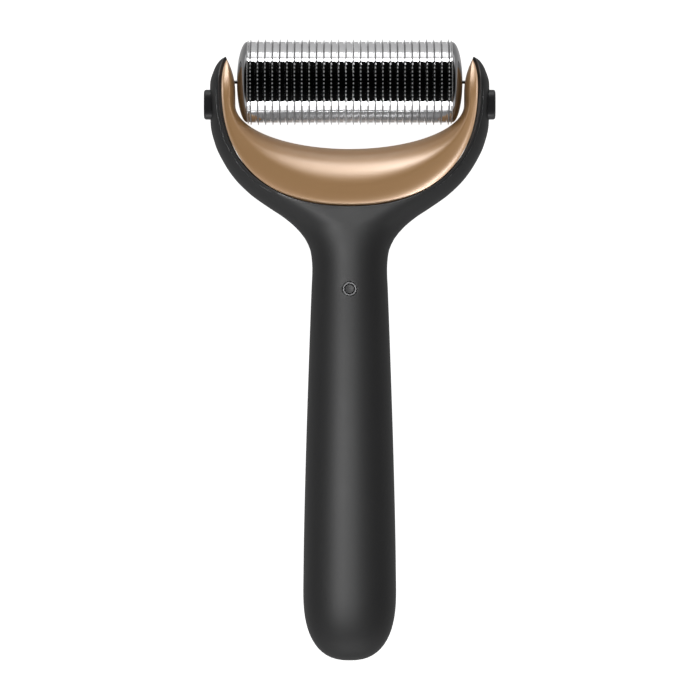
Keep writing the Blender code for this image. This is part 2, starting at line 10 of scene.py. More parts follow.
import bmesh
import bpy
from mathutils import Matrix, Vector


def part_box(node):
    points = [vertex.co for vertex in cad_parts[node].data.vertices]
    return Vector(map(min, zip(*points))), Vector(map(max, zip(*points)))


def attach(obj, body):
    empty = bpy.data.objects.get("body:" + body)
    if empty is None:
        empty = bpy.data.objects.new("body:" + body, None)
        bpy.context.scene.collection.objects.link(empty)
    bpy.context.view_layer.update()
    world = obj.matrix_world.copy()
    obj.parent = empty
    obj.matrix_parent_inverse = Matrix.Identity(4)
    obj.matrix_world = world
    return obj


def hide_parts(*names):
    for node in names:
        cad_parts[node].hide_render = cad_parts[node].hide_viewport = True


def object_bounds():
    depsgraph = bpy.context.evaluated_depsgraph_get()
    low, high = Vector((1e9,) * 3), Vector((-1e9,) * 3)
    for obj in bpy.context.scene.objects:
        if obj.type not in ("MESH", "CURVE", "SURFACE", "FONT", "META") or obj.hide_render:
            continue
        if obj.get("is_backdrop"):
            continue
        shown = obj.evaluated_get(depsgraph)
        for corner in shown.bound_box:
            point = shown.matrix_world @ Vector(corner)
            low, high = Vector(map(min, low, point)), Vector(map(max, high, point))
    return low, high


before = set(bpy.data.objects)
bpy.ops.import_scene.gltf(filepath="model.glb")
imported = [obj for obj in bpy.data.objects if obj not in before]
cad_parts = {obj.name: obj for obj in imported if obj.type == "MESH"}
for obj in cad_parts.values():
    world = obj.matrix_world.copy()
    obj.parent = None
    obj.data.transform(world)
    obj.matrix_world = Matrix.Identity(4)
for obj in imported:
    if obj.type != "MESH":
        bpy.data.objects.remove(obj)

cad_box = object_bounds()
MM = 0.001

# %% [markdown]
# ## Small helpers
# Every piece goes through `show`, so that no piece misses its body or the CAD nodes it
# stands for. Smooth shading is split at real edges only.


# %% Helpers that make and place a piece
def mesh_object(name, bm, sharp=0.6):
    bmesh.ops.recalc_face_normals(bm, faces=bm.faces[:])
    mesh = bpy.data.meshes.new(name)
    bm.to_mesh(mesh)
    bm.free()
    mesh.shade_smooth()
    mesh.set_sharp_from_angle(angle=sharp)
    obj = bpy.data.objects.new(name, mesh)
    bpy.context.scene.collection.objects.link(obj)
    return obj


def show(obj, material, body, slot, *nodes):
    """Give a piece its material, let it ride on a body and hide what it stands for. The slot is not
    used.
    """
    if not obj.data.materials:
        obj.data.materials.append(material)
    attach(obj, body)
    if nodes:
        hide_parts(*nodes)
    return obj


def apply_modifiers(obj):
    """Replace the mesh by what its modifiers make of it."""
    graph = bpy.context.evaluated_depsgraph_get()
    made = bpy.data.meshes.new_from_object(obj.evaluated_get(graph))
    obj.modifiers.clear()
    obj.data = made
    return obj


def cut(obj, cutter):
    """Take a closed shape out of a piece, and remove the shape."""
    modifier = obj.modifiers.new("cut", "BOOLEAN")
    modifier.object = cutter
    modifier.solver = "EXACT"
    apply_modifiers(obj)
    bpy.data.objects.remove(cutter, do_unlink=True)


def rounded(share, roundness):
    """Height of a superellipse of size 1 at this share of its half width."""
    return max(0.0, 1.0 - min(abs(share), 1.0) ** roundness) ** (1.0 / roundness)


def smooth_value(points, place):
    """Read a smooth curve through (place, value) points."""
    if place <= points[0][0]:
        return points[0][1]
    if place >= points[-1][0]:
        return points[-1][1]
    i = max(k for k in range(len(points) - 1) if points[k][0] <= place)
    steps = [(b[1] - a[1]) / (b[0] - a[0]) for a, b in zip(points, points[1:])]

    def slope(k):
        left, right = steps[max(k - 1, 0)], steps[min(k, len(steps) - 1)]
        return 2 * left * right / (left + right) if left * right > 0 else 0.0

    (x0, y0), (x1, y1) = points[i], points[i + 1]
    t = (place - x0) / (x1 - x0)
    bend = t * (1 - t) ** 2 * slope(i) - t * t * (1 - t) * slope(i + 1)
    return (1 + 2 * t) * (1 - t) ** 2 * y0 + t * t * (3 - 2 * t) * y1 + (x1 - x0) * bend


def turned(name, profile, axis, centre, sides=96, sharp=0.5):
    """Spin (radius, distance) points about an axis through the centre."""
    along = Vector(axis).normalized()
    across = along.orthogonal().normalized()
    centre = Vector(centre)
    bm = bmesh.new()
    corners = [bm.verts.new(centre + across * r + along * d) for r, d in profile]
    pairs = list(zip(corners, corners[1:]))
    if profile[0][0] > 0:
        pairs.append((corners[-1], corners[0]))
    edges = [bm.edges.new(pair) for pair in pairs]
    geometry = corners + edges
    bmesh.ops.spin(
        bm, geom=geometry, cent=centre, axis=along, angle=2 * pi, steps=sides, use_merge=True
    )
    bmesh.ops.remove_doubles(bm, verts=bm.verts[:], dist=0.002 * MM)
    return mesh_object(name, bm, sharp)


# %% [markdown]
# ## Camera
# The view is straight down on the front face, from far off with a long lens, so that nothing
# spreads towards the edges. The distance follows from the width that the frame should cover.

# %% Camera
FRAME_WIDTH = 180.4 * MM
LENS = 200.0
SENSOR = 36.0
FOCUS_HEIGHT = 11.0 * MM
camera_data = bpy.data.cameras.new("camera")
camera_data.lens = LENS
camera_data.sensor_width = SENSOR
camera = bpy.data.objects.new("camera", camera_data)
camera.location = (0.08 * MM, 0.04 * MM, FOCUS_HEIGHT + FRAME_WIDTH * LENS / SENSOR)
bpy.context.scene.collection.objects.link(camera)
bpy.context.scene.camera = camera
bpy.context.scene.view_settings.view_transform = "Standard"
print("camera height", round(camera.location.z, 3), "m")


# %% [markdown]
# ## Lights
# Two low strips serve the whole tool: one past the drum and one past the handle's end. They
# draw the two white bands on the drum. Matt black and satin gold need light from other sides,
# and the chrome would mirror it, so those lights are linked: each serves only the casing or
# only the saddle. Three of them would be shaded by the drum, so only the saddle blocks them.


# %% A rectangular light
def softbox(name, place, target, size, power):
    """A rectangular light at a place, turned towards a target."""
    data = bpy.data.lights.new(name, "AREA")
    data.shape = "RECTANGLE"
    data.size, data.size_y = size
    data.energy = power
    lamp = bpy.data.objects.new(name, data)
    lamp.location = place
    lamp.rotation_euler = (Vector(target) - Vector(place)).to_track_quat("-Z", "Y").to_euler()
    lamp.visible_camera = False
    bpy.context.scene.collection.objects.link(lamp)
    return lamp


# %% Strips for the whole tool
DRUM = Vector((0.0, 69.0 * MM, 12.0 * MM))
SADDLE = Vector((0.0, 45.0 * MM, 14.0 * MM))
HANDLE_TOP = Vector((0.0, -30.0 * MM, 20.0 * MM))
softbox("strip_past_drum", (0.03, 0.77, 0.38), DRUM, (0.62, 0.12), 1.3)
softbox("strip_past_handle", (0.0, -0.62, 0.30), DRUM, (0.50, 0.16), 1.0)
print("the drum's axis is", round(DRUM.z / MM, 1), "mm above the table")

# %% Linked lights
for_casing = bpy.data.collections.new("for_casing")
for_saddle = bpy.data.collections.new("for_saddle")
casing_strip = softbox("strip_over_handle", (-0.10, -0.03, 0.50), HANDLE_TOP, (0.30, 0.06), 3.1)
casing_strip.light_linking.receiver_collection = for_casing
for name, place, size, power, passes_drum in (
    ("glow_past_drum", (0.0, 0.60, 0.58), (0.50, 0.26), 1.05, False),
    ("low_past_drum", (0.0, 0.90, 0.16), (0.80, 0.24), 2.5, True),
    ("box_past_drum", (-0.24, 0.64, 0.56), (0.26, 0.20), 1.5, False),
    ("left_inside", (0.42, 0.10, 0.06), (0.24, 0.16), 0.4, True),
    ("right_inside", (-0.42, 0.10, 0.06), (0.24, 0.16), 0.4, True),
    ("rim_strip", (0.12, -0.46, 0.30), (0.36, 0.08), 1.4, False),
    ("rim_right", (0.30, -0.32, 0.42), (0.16, 0.16), 1.0, False),
):
    lamp = softbox(name, place, SADDLE, size, power)
    lamp.light_linking.receiver_collection = for_saddle
    if passes_drum:
        lamp.light_linking.blocker_collection = for_saddle
print(len(bpy.data.lights), "lights")

# %% [markdown]
# ## World
# The world lights evenly, but polished metal should not mirror an even white room: it would
# look like white plastic. So rays that come off gloss see a room of their own. It is black
# overhead and bright low down, ahead and behind, with dark side walls.

# %% What the world's light and the mirrored room are like
WORLD_LIGHT = 0.30
OVERHEAD_IN_GLOSS = 0.003
HORIZON_IN_GLOSS = 1.5
CEILING_FROM = 0.50
BRIGHT_BELOW = 0.16
SIDE_WALL_SHARE = 0.08
SIDE_WALL_UP_TO = 0.30
BRIGHT_WALL_FROM = 0.80

# %% World nodes
world = bpy.data.worlds.new("studio")
bpy.context.scene.world = world
world.use_nodes = True
nodes = world.node_tree.nodes
links = world.node_tree.links
background = nodes["Background"]
background.inputs["Color"].default_value = (1.0, 1.0, 1.0, 1.0)
path = nodes.new("ShaderNodeLightPath")
place = nodes.new("ShaderNodeTexCoord")
split = nodes.new("ShaderNodeSeparateXYZ")
links.new(place.outputs["Generated"], split.inputs["Vector"])

# %% Brightness of the mirrored room by height
height = nodes.new("ShaderNodeMapRange")
height.interpolation_type = "SMOOTHSTEP"
height.inputs["From Min"].default_value = CEILING_FROM
height.inputs["From Max"].default_value = BRIGHT_BELOW
height.inputs["To Min"].default_value = OVERHEAD_IN_GLOSS
height.inputs["To Max"].default_value = HORIZON_IN_GLOSS
links.new(split.outputs["Z"], height.inputs["Value"])

# %% Darker side walls, and the choice between the two rooms
ahead = nodes.new("ShaderNodeMath")
ahead.operation = "ABSOLUTE"
sides = nodes.new("ShaderNodeMapRange")
sides.interpolation_type = "SMOOTHSTEP"
sides.inputs["From Min"].default_value = SIDE_WALL_UP_TO
sides.inputs["From Max"].default_value = BRIGHT_WALL_FROM
sides.inputs["To Min"].default_value = SIDE_WALL_SHARE
shade = nodes.new("ShaderNodeMath")
shade.operation = "MULTIPLY"
choice = nodes.new("ShaderNodeMix")
choice.inputs["A"].default_value = WORLD_LIGHT
links.new(split.outputs["Y"], ahead.inputs[0])
links.new(ahead.outputs["Value"], sides.inputs["Value"])
links.new(height.outputs["Result"], shade.inputs[0])
links.new(sides.outputs["Result"], shade.inputs[1])
links.new(shade.outputs["Value"], choice.inputs["B"])
links.new(path.outputs["Is Glossy Ray"], choice.inputs["Factor"])
links.new(choice.outputs["Result"], background.inputs["Strength"])
print("world nodes:", len(nodes))

# %% [markdown]
# ## Shared effects
# Three node groups serve all the finishes. `fine_grain` gives the pebbled skin of a coating or
# a moulding, `drawn_lines` the hair lines of worked metal, and `handling` the cloudy patches
# that fingers leave. Each gives out plain values, and each material mixes them its own way.


# %% Node group helpers
def new_group(name, inputs, outputs):
    """An empty node group with float inputs, given as name and default, and float outputs."""
    group = bpy.data.node_groups.new(name, "ShaderNodeTree")
    for label, default in inputs:
        socket = group.interface.new_socket(label, in_out="INPUT", socket_type="NodeSocketFloat")
        socket.default_value = default
    for label in outputs:
        group.interface.new_socket(label, in_out="OUTPUT", socket_type="NodeSocketFloat")
    start = group.nodes.new("NodeGroupInput")
    end = group.nodes.new("NodeGroupOutput")
    return group, start, end


def add_noise(tree, coordinates, detail=2.0, roughness=0.5):
    noise = tree.nodes.new("ShaderNodeTexNoise")
    noise.inputs["Detail"].default_value = detail
    noise.inputs["Roughness"].default_value = roughness
    tree.links.new(coordinates, noise.inputs["Vector"])
    return noise


# %% Fine grain
grain_group, start, end = new_group(
    "fine_grain", (("Scale", 2500.0), ("Softness", 0.5)), ("Height", "Patches")
)
tree = grain_group
place = tree.nodes.new("ShaderNodeTexCoord")
pebbles = add_noise(tree, place.outputs["Object"], 3.0, 0.6)
tree.links.new(start.outputs["Scale"], pebbles.inputs["Scale"])
tree.links.new(start.outputs["Softness"], pebbles.inputs["Roughness"])
broad = add_noise(tree, place.outputs["Object"], 2.0, 0.5)
broad.inputs["Scale"].default_value = 60.0
tree.links.new(pebbles.outputs["Fac"], end.inputs["Height"])
tree.links.new(broad.outputs["Fac"], end.inputs["Patches"])
print("fine_grain has", len(tree.nodes), "nodes")

# %% Drawn lines
lines_group, start, end = new_group(
    "drawn_lines", (("Across", 9000.0), ("Along", 120.0)), ("Height",)
)
tree = lines_group
place = tree.nodes.new("ShaderNodeTexCoord")
stretch = tree.nodes.new("ShaderNodeCombineXYZ")
tree.links.new(start.outputs["Along"], stretch.inputs["X"])
tree.links.new(start.outputs["Across"], stretch.inputs["Y"])
tree.links.new(start.outputs["Across"], stretch.inputs["Z"])
scaled = tree.nodes.new("ShaderNodeVectorMath")
scaled.operation = "MULTIPLY"
tree.links.new(place.outputs["Object"], scaled.inputs[0])
tree.links.new(stretch.outputs["Vector"], scaled.inputs[1])
hair = add_noise(tree, scaled.outputs["Vector"], 3.0, 0.6)
hair.inputs["Scale"].default_value = 1.0
tree.links.new(hair.outputs["Fac"], end.inputs["Height"])
print("drawn_lines has", len(tree.nodes), "nodes")

# %% Handling marks
marks_group, start, end = new_group("handling", (("Size", 90.0), ("Cover", 0.55)), ("Mask",))
tree = marks_group
place = tree.nodes.new("ShaderNodeTexCoord")
clouds = add_noise(tree, place.outputs["Object"], 4.0, 0.55)
tree.links.new(start.outputs["Size"], clouds.inputs["Scale"])
edge = tree.nodes.new("ShaderNodeMapRange")
edge.inputs["From Max"].default_value = 0.85
tree.links.new(clouds.outputs["Fac"], edge.inputs["Value"])
tree.links.new(start.outputs["Cover"], edge.inputs["From Min"])
tree.links.new(edge.outputs["Result"], end.inputs["Mask"])
print("node groups:", ", ".join(g.name for g in bpy.data.node_groups))


# %% [markdown]
# ## Finishes
# `finish` builds one Principled material. Colour moves between two close tones with the broad
# patches, roughness moves between two values with the marks, and a bump carries the texture.
# The numbers that are the same all over stay on the shader's own sockets.


# %% One function for all the finishes
SOCKETS = {
    "specular": "Specular IOR Level",
    "coat": "Coat Weight",
    "coat_rough": "Coat Roughness",
    "coat_ior": "Coat IOR",
}


MIX_FACTOR, MIX_FIRST, MIX_SECOND, MIX_RESULT = 0, 6, 7, 2
BUMP_DEPTH = 0.1 * MM


def finish(name, tones, rough, metallic=0.0, texture=grain_group, values=(), bump=0.02, **fixed):
    """A material with tones (dark, light), roughness (low, high) and a fine texture."""
    material = bpy.data.materials.new(name)
    material.use_nodes = True
    tree = material.node_tree
    shader = tree.nodes["Principled BSDF"]
    shader.inputs["Metallic"].default_value = metallic
    for socket, value in fixed.items():
        shader.inputs[SOCKETS[socket]].default_value = value
    surface = tree.nodes.new("ShaderNodeGroup")
    surface.node_tree = texture
    for socket, value in values:
        surface.inputs[socket].default_value = value
    patches = surface
    if texture is not grain_group:
        patches = tree.nodes.new("ShaderNodeGroup")
        patches.node_tree = grain_group
    marks = tree.nodes.new("ShaderNodeGroup")
    marks.node_tree = marks_group
    colour = tree.nodes.new("ShaderNodeMix")
    colour.data_type = "RGBA"
    colour.inputs[MIX_FIRST].default_value = (*tones[0], 1.0)
    colour.inputs[MIX_SECOND].default_value = (*tones[1], 1.0)
    tree.links.new(patches.outputs["Patches"], colour.inputs[MIX_FACTOR])
    tree.links.new(colour.outputs[MIX_RESULT], shader.inputs["Base Color"])
    roughness = tree.nodes.new("ShaderNodeMapRange")
    roughness.inputs["To Min"].default_value = rough[0]
    roughness.inputs["To Max"].default_value = rough[1]
    tree.links.new(marks.outputs["Mask"], roughness.inputs["Value"])
    tree.links.new(roughness.outputs["Result"], shader.inputs["Roughness"])
    relief = tree.nodes.new("ShaderNodeBump")
    relief.inputs["Strength"].default_value = bump
    relief.inputs["Distance"].default_value = BUMP_DEPTH
    tree.links.new(surface.outputs["Height"], relief.inputs["Height"])
    tree.links.new(relief.outputs["Normal"], shader.inputs["Normal"])
    return material


# %% Finishes of the casing
soft_touch = finish(
    "soft_touch_black", ((0.008, 0.008, 0.0083), (0.010, 0.010, 0.0103)), (0.54, 0.50),
    values=(("Scale", 5200.0),), bump=0.05, specular=0.35,
)
# The seam's lip: glossier than the casing, and a little lighter, which is a painted highlight along
# the rolled edge.
lip_black_painted_highlight = finish(
    "lip_black_painted_highlight", ((0.022, 0.023, 0.025), (0.026, 0.027, 0.029)), (0.30, 0.34),
    values=(("Scale", 5200.0),), bump=0.02, specular=0.7,
)
print("casing:", soft_touch.name, "with", lip_black_painted_highlight.name, "at the seam")

# %% [markdown]
# ### Gold that turns quiet in the drum's mirror
# The saddle is a metallic lacquer: part metal, part body colour, under a clear coat that gives
# the white highlights. Bright gold mirrored in the lower side of the drum would read as a gold
# drum. So a ray that comes off gloss, and has gone further than the gap to the end caps, finds
# the saddle in a neutral tone.

# %% The saddle's gold
saddle_gold = finish(
    "satin_gold", ((0.42, 0.216, 0.066), (0.445, 0.229, 0.070)), (0.47, 0.51),
    0.45, values=(("Scale", 7000.0),), bump=0.008, coat=1.0, coat_rough=0.38, coat_ior=2.4,
)
print("gold:", len(saddle_gold.node_tree.nodes), "nodes")

# %% The quiet tone for distant reflections
CAP_GAP_REACH = 5.0 * MM
QUIET_TONE = (0.34, 0.34, 0.345, 1.0)
tree = saddle_gold.node_tree
shader = tree.nodes["Principled BSDF"]
own_colour = shader.inputs["Base Color"].links[0].from_socket
path = tree.nodes.new("ShaderNodeLightPath")
away = tree.nodes.new("ShaderNodeMath")
away.operation = "GREATER_THAN"
away.inputs[1].default_value = CAP_GAP_REACH
mirrored = tree.nodes.new("ShaderNodeMath")
mirrored.operation = "MULTIPLY"
quiet = tree.nodes.new("ShaderNodeMix")
quiet.data_type = "RGBA"
quiet.inputs[MIX_SECOND].default_value = QUIET_TONE
tree.links.new(path.outputs["Ray Length"], away.inputs[0])
tree.links.new(path.outputs["Is Glossy Ray"], mirrored.inputs[0])
tree.links.new(away.outputs["Value"], mirrored.inputs[1])
tree.links.new(mirrored.outputs["Value"], quiet.inputs[MIX_FACTOR])
tree.links.new(own_colour, quiet.inputs[MIX_FIRST])
tree.links.new(quiet.outputs[MIX_RESULT], shader.inputs["Base Color"])
print("gold with its quiet tone:", len(tree.nodes), "nodes")

# %% Finishes of the drum
FINE_LINES = (("Across", 9000.0), ("Along", 150.0))
dark_chrome = finish(
    "dark_chrome", ((0.82, 0.82, 0.83), (0.88, 0.88, 0.89)), (0.05, 0.08), 1.0,
    values=(("Scale", 900.0),), bump=0.004,
)
tooth_steel = finish(
    "tooth_steel", ((0.86, 0.86, 0.87), (0.92, 0.92, 0.92)), (0.30, 0.40), 0.35,
    lines_group, FINE_LINES, 0.02,
)
smoked_chrome = finish(
    "smoked_chrome", ((0.26, 0.26, 0.265), (0.30, 0.30, 0.305)), (0.05, 0.08), 1.0,
    values=(("Scale", 600.0),), bump=0.003,
)
# The disc between the spikes is painted black: painted shade for the gaps between the spacers, where
# the steel lies in shade.
disc_painted_shade = finish(
    "steel_painted_shade", ((0.030, 0.030, 0.032), (0.045, 0.045, 0.047)), (0.30, 0.40), 1.0,
    lines_group, FINE_LINES, 0.02,
)
mirror_steel = finish(
    "mirror_steel", ((0.66, 0.66, 0.67), (0.72, 0.72, 0.72)), (0.05, 0.08), 1.0,
    values=(("Scale", 600.0),), bump=0.003,
)
print("drum:", ", ".join(m.name for m in (dark_chrome, tooth_steel, smoked_chrome, disc_painted_shade)))

# %% Finishes of the buttons and the switch
button_grey = finish(
    "button_grey", ((0.030, 0.030, 0.032), (0.038, 0.038, 0.040)), (0.40, 0.46),
    values=(("Scale", 5200.0),), bump=0.04,
)
switch_black = finish(
    "switch_black", ((0.012, 0.012, 0.0125), (0.015, 0.015, 0.0155)), (0.50, 0.56),
    values=(("Scale", 5200.0),), bump=0.04, specular=0.30,
)
ring_metal = finish(
    "ring_metal", ((0.085, 0.085, 0.088), (0.10, 0.10, 0.103)), (0.50, 0.56), 0.2,
    lines_group, FINE_LINES, 0.02,
)
print("buttons:", ", ".join(m.name for m in (button_grey, switch_black, ring_metal)))

# %% Finishes of what is inside
contact_gold = finish(
    "contact_gold", ((0.70, 0.49, 0.20), (0.78, 0.56, 0.25)), (0.18, 0.28), 1.0,
    lines_group, FINE_LINES, 0.02,
)
spring_steel = finish(
    "spring_steel", ((0.50, 0.50, 0.52), (0.60, 0.60, 0.61)), (0.20, 0.30), 1.0,
    lines_group, FINE_LINES, 0.03,
)
latch_nylon = finish(
    "latch_nylon", ((0.56, 0.56, 0.52), (0.64, 0.63, 0.60)), (0.45, 0.55),
    values=(("Scale", 3000.0),), bump=0.04,
)
board_green = finish(
    "board_green", ((0.012, 0.10, 0.045), (0.020, 0.15, 0.065)), (0.30, 0.42),
    values=(("Scale", 1800.0),), bump=0.03,
)
cell_sleeve = finish(
    "cell_sleeve", ((0.035, 0.085, 0.20), (0.050, 0.11, 0.25)), (0.26, 0.36),
    values=(("Scale", 1200.0),), bump=0.03,
)
print("inside:", ", ".join(m.name for m in (contact_gold, spring_steel, latch_nylon, board_green)))

# %% [markdown]
# ## The floor
# A plain sheet of white paper, just under the tool. It glows towards the camera, so that the
# ground stays evenly white, and only a little towards the tool, so that its edges stay dark.

# %% Paper
paper = finish(
    "white_paper", ((0.70, 0.70, 0.70), (0.72, 0.72, 0.72)), (0.85, 0.95),
    values=(("Scale", 300.0),), bump=0.01,
)
FLOOR_SIZE = 4.0
FLOOR_DROP = 0.05 * MM
FLOOR_GRID = 4
grid = bmesh.new()
bmesh.ops.create_grid(grid, x_segments=FLOOR_GRID, y_segments=FLOOR_GRID, size=FLOOR_SIZE / 2)
bmesh.ops.translate(grid, vec=(0, 0, -FLOOR_DROP), verts=grid.verts[:])
floor = mesh_object("floor", grid)
floor.data.materials.append(paper)
floor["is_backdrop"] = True
print("floor of", FLOOR_SIZE, "m")

# %% The paper's glow
GLOW_FOR_ALL = 0.22
GLOW_FOR_CAMERA = 0.75
tree = paper.node_tree
glow = tree.nodes["Principled BSDF"]
glow.inputs["Emission Color"].default_value = (1.0, 1.0, 1.0, 1.0)
path = tree.nodes.new("ShaderNodeLightPath")
strength = tree.nodes.new("ShaderNodeMath")
strength.operation = "MULTIPLY_ADD"
strength.inputs[1].default_value = GLOW_FOR_CAMERA
strength.inputs[2].default_value = GLOW_FOR_ALL
tree.links.new(path.outputs["Is Camera Ray"], strength.inputs[0])
tree.links.new(strength.outputs["Value"], glow.inputs["Emission Strength"])
print(len(bpy.data.materials), "materials")

# %% [markdown]
# ## The casing
# The handle and yoke are one matt form, split into a front and a rear shell at the side. The
# outline and the depths are the same curves as the CAD's. A Boolean would leave ragged edges
# round the gold, so the skin is laid out instead: rings along the handle, then strips
# that fan from the neck to the seam and on round both arms. The seam gets a small rolled lip,
# which is what catches the light on the real tool; its lighter tone is a painted highlight. A
# slope inside it leads down to the gold. Solidify gives the skin its wall, which thins out
# towards the arms' slim tips.

# %% The casing's curves, in millimetres
CASING_HALF_WIDTH = (
    (-62.0, 12.0), (-50.0, 11.85), (-30.0, 11.4), (0.0, 10.45), (15.0, 9.9), (21.0, 9.67),
    (25.0, 10.0), (28.0, 11.1), (31.0, 13.3), (34.0, 16.7), (37.0, 21.2), (40.0, 25.4),
    (44.0, 29.5), (48.0, 32.3), (53.0, 34.7), (58.0, 35.85), (63.0, 36.0), (68.4, 35.95),
    (72.2, 34.9), (74.6, 33.4), (75.6, 31.94),
)
CASING_BACK = ((-62.0, -0.5), (46.0, -0.5), (52.0, 0.5), (60.0, 2.4), (67.0, 3.6), (75.6, 4.0))
CASING_FRONT = (
    (-62.0, 20.3), (-30.0, 19.9), (0.0, 18.5), (21.0, 17.2), (37.0, 17.0), (50.0, 18.0),
    (60.0, 19.3), (67.0, 20.2), (75.6, 20.4),
)
EDGE_ROUND = (
    (-62.0, 40.0), (22.0, 20.0), (30.0, 14.0), (37.0, 12.0), (50.0, 9.0), (60.0, 6.8), (75.6, 6.5),
)
END_Y, WIDEST_Y, TIP_Y, TIP_ROUND_FROM_Y = -80.0, -62.0, 75.6, 64.0
TIP_X = 31.94
SPLIT_Z, SPLIT_GAP = 7.5, 0.1
SWITCH_Y, RING_RADIUS = 15.7, 1.75


def section_size(y):
    """Half width, edge rounding, middle height and half depth of the casing at y."""
    half_width = smooth_value(CASING_HALF_WIDTH, y)
    back, front = smooth_value(CASING_BACK, y), smooth_value(CASING_FRONT, y)
    half_depth = (front - back) / 2
    if y < WIDEST_Y:
        shrink = rounded((WIDEST_Y - y) / (WIDEST_Y - END_Y), 2.5)
        half_width *= shrink
        half_depth *= shrink
    if y > TIP_ROUND_FROM_Y:
        half_depth *= rounded((y - TIP_ROUND_FROM_Y) / (TIP_Y + 0.1 - TIP_ROUND_FROM_Y), 2.2)
    return half_width, min(smooth_value(EDGE_ROUND, y), half_width), (front + back) / 2, half_depth


def casing_height(x, y, side):
    """Height of the front (side 1) or back (side -1) of the casing above the table."""
    half_width, edge, middle, half_depth = section_size(y)
    share = (abs(x) - (half_width - edge)) / max(edge, 0.01)
    z = middle + side * half_depth * rounded(max(share, 0.0), 2.2)
    return (z + (z * z + 0.02) ** 0.5) / 2 if side < 0 else z


# %% The seam round the saddle
SEAM_X, SEAM_Y, SEAM_MIDDLE = 33.4, 30.1, 67.0
SEAM_ROUNDNESS = 2.28
NECK_Y = 32.6
HALF_COLUMNS = 28
FAN_ANGLE = 33.0 * pi / 180
REACH_STEPS = 12
LIP = 0.30
SLOPE_DROP = 0.25
SLOPE_MIDDLE, SLOPE_ARM = 0.10, 0.55
GOLD_TIP_X, GOLD_TIP_Y = 31.55, 74.8


def seam_point(angle):
    """A point of the seam round the gold, at an angle from straight down."""
    across = abs(sin(angle)) ** (2 / SEAM_ROUNDNESS)
    down = abs(cos(angle)) ** (2 / SEAM_ROUNDNESS)
    return SEAM_X * across * (1 if angle > 0 else -1), SEAM_MIDDLE - SEAM_Y * down


def seam_arm_point(share):
    """A point of the seam between its widest place (share 0) and the arm's tip (share 1)."""
    x = SEAM_X + (TIP_X - SEAM_X) * share**3
    return x, SEAM_MIDDLE + (TIP_Y - SEAM_MIDDLE) * share


def gold_edge_point(angle):
    """The gold's own edge: a slope inside the seam leads down to it, wider in the arms."""
    x, y = seam_point(angle)
    inset = SLOPE_MIDDLE + (SLOPE_ARM - SLOPE_MIDDLE) * (abs(x) / SEAM_X) ** 6
    return x * (1 - inset / SEAM_X), SEAM_MIDDLE + (y - SEAM_MIDDLE) * (1 - inset / SEAM_Y)


def gold_arm_point(share):
    """The same for the gold's own edge, which ends a little below the tip."""
    x = SEAM_X - SLOPE_ARM + (GOLD_TIP_X - SEAM_X + SLOPE_ARM) * share**3
    return x, SEAM_MIDDLE + (GOLD_TIP_Y - SEAM_MIDDLE) * share


def resample(points, count):
    """Points at even steps along a line of points."""
    lengths = [0.0]
    for a, b in zip(points, points[1:]):
        lengths.append(lengths[-1] + ((a[0] - b[0]) ** 2 + (a[1] - b[1]) ** 2) ** 0.5)
    found, k = [], 0
    for i in range(count):
        want = lengths[-1] * i / (count - 1)
        while k < len(points) - 2 and lengths[k + 1] < want:
            k += 1
        t = (want - lengths[k]) / max(lengths[k + 1] - lengths[k], 1e-9)
        a, b = points[k], points[k + 1]
        found.append((a[0] + (b[0] - a[0]) * t, a[1] + (b[1] - a[1]) * t))
    return found


# %% Lay out the points that the strips join
ARM_STRIPS = 90
FINE_STEPS = 200
fine = [k / FINE_STEPS for k in range(FINE_STEPS + 1)]
arm_seam = [seam_point(FAN_ANGLE + (pi / 2 - FAN_ANGLE) * f) for f in fine]
arm_seam = resample(arm_seam + [seam_arm_point(f) for f in fine[1:]], ARM_STRIPS)
arm_gold = [gold_edge_point(FAN_ANGLE + (pi / 2 - FAN_ANGLE) * f) for f in fine]
arm_gold = resample(arm_gold + [gold_arm_point(f) for f in fine[1:]], ARM_STRIPS)
arm_side = [NECK_Y + (TIP_Y - NECK_Y) * f for f in fine]
arm_side = resample([(smooth_value(CASING_HALF_WIDTH, y), y) for y in arm_side], ARM_STRIPS)
neck_half = smooth_value(CASING_HALF_WIDTH, NECK_Y)
columns = [sin(pi / 2 * k / HALF_COLUMNS) for k in range(-HALF_COLUMNS, HALF_COLUMNS + 1)]
fan_angles = [FAN_ANGLE * k / HALF_COLUMNS for k in range(-HALF_COLUMNS, HALF_COLUMNS + 1)]
print("arm strips", ARM_STRIPS, "neck half width", round(neck_half, 2), "mm")


# %% Lay out the casing's skin
END_STEPS = 16
FINE_ROW, BROAD_ROW = 0.4, 1.5
FINE_REACH = 4.0
LIP_TURNS = (pi / 8, pi / 4, 3 * pi / 8, pi / 2)


def strip_points(outer, seam, gold):
    """Front and back points from the outer edge over the seam's lip and down to the gold's edge."""
    outer, seam, gold = Vector(outer), Vector(seam), Vector(gold)
    away = outer - seam
    lip = min(LIP, 0.3 * away.length)
    inner = seam + (away.normalized() * lip if away.length > 1e-6 else away)
    sides = []
    for side in (1, -1):
        points = []
        for k in range(REACH_STEPS + 1):
            at = outer + (inner - outer) * (1 - cos(pi / 2 * k / REACH_STEPS))
            points.append((at.x, at.y, casing_height(at.x, at.y, side)))
        edge = points[-1][2]
        for turn in LIP_TURNS:
            at = seam + (inner - seam) * (1 - sin(turn))
            points.append((at.x, at.y, edge - side * lip * (1 - cos(turn))))
        for share in (0.5, 1.0):
            at = seam.lerp(gold, share)
            points.append((at.x, at.y, edge - side * (lip + SLOPE_DROP * share)))
        sides.append(points)
    return sides


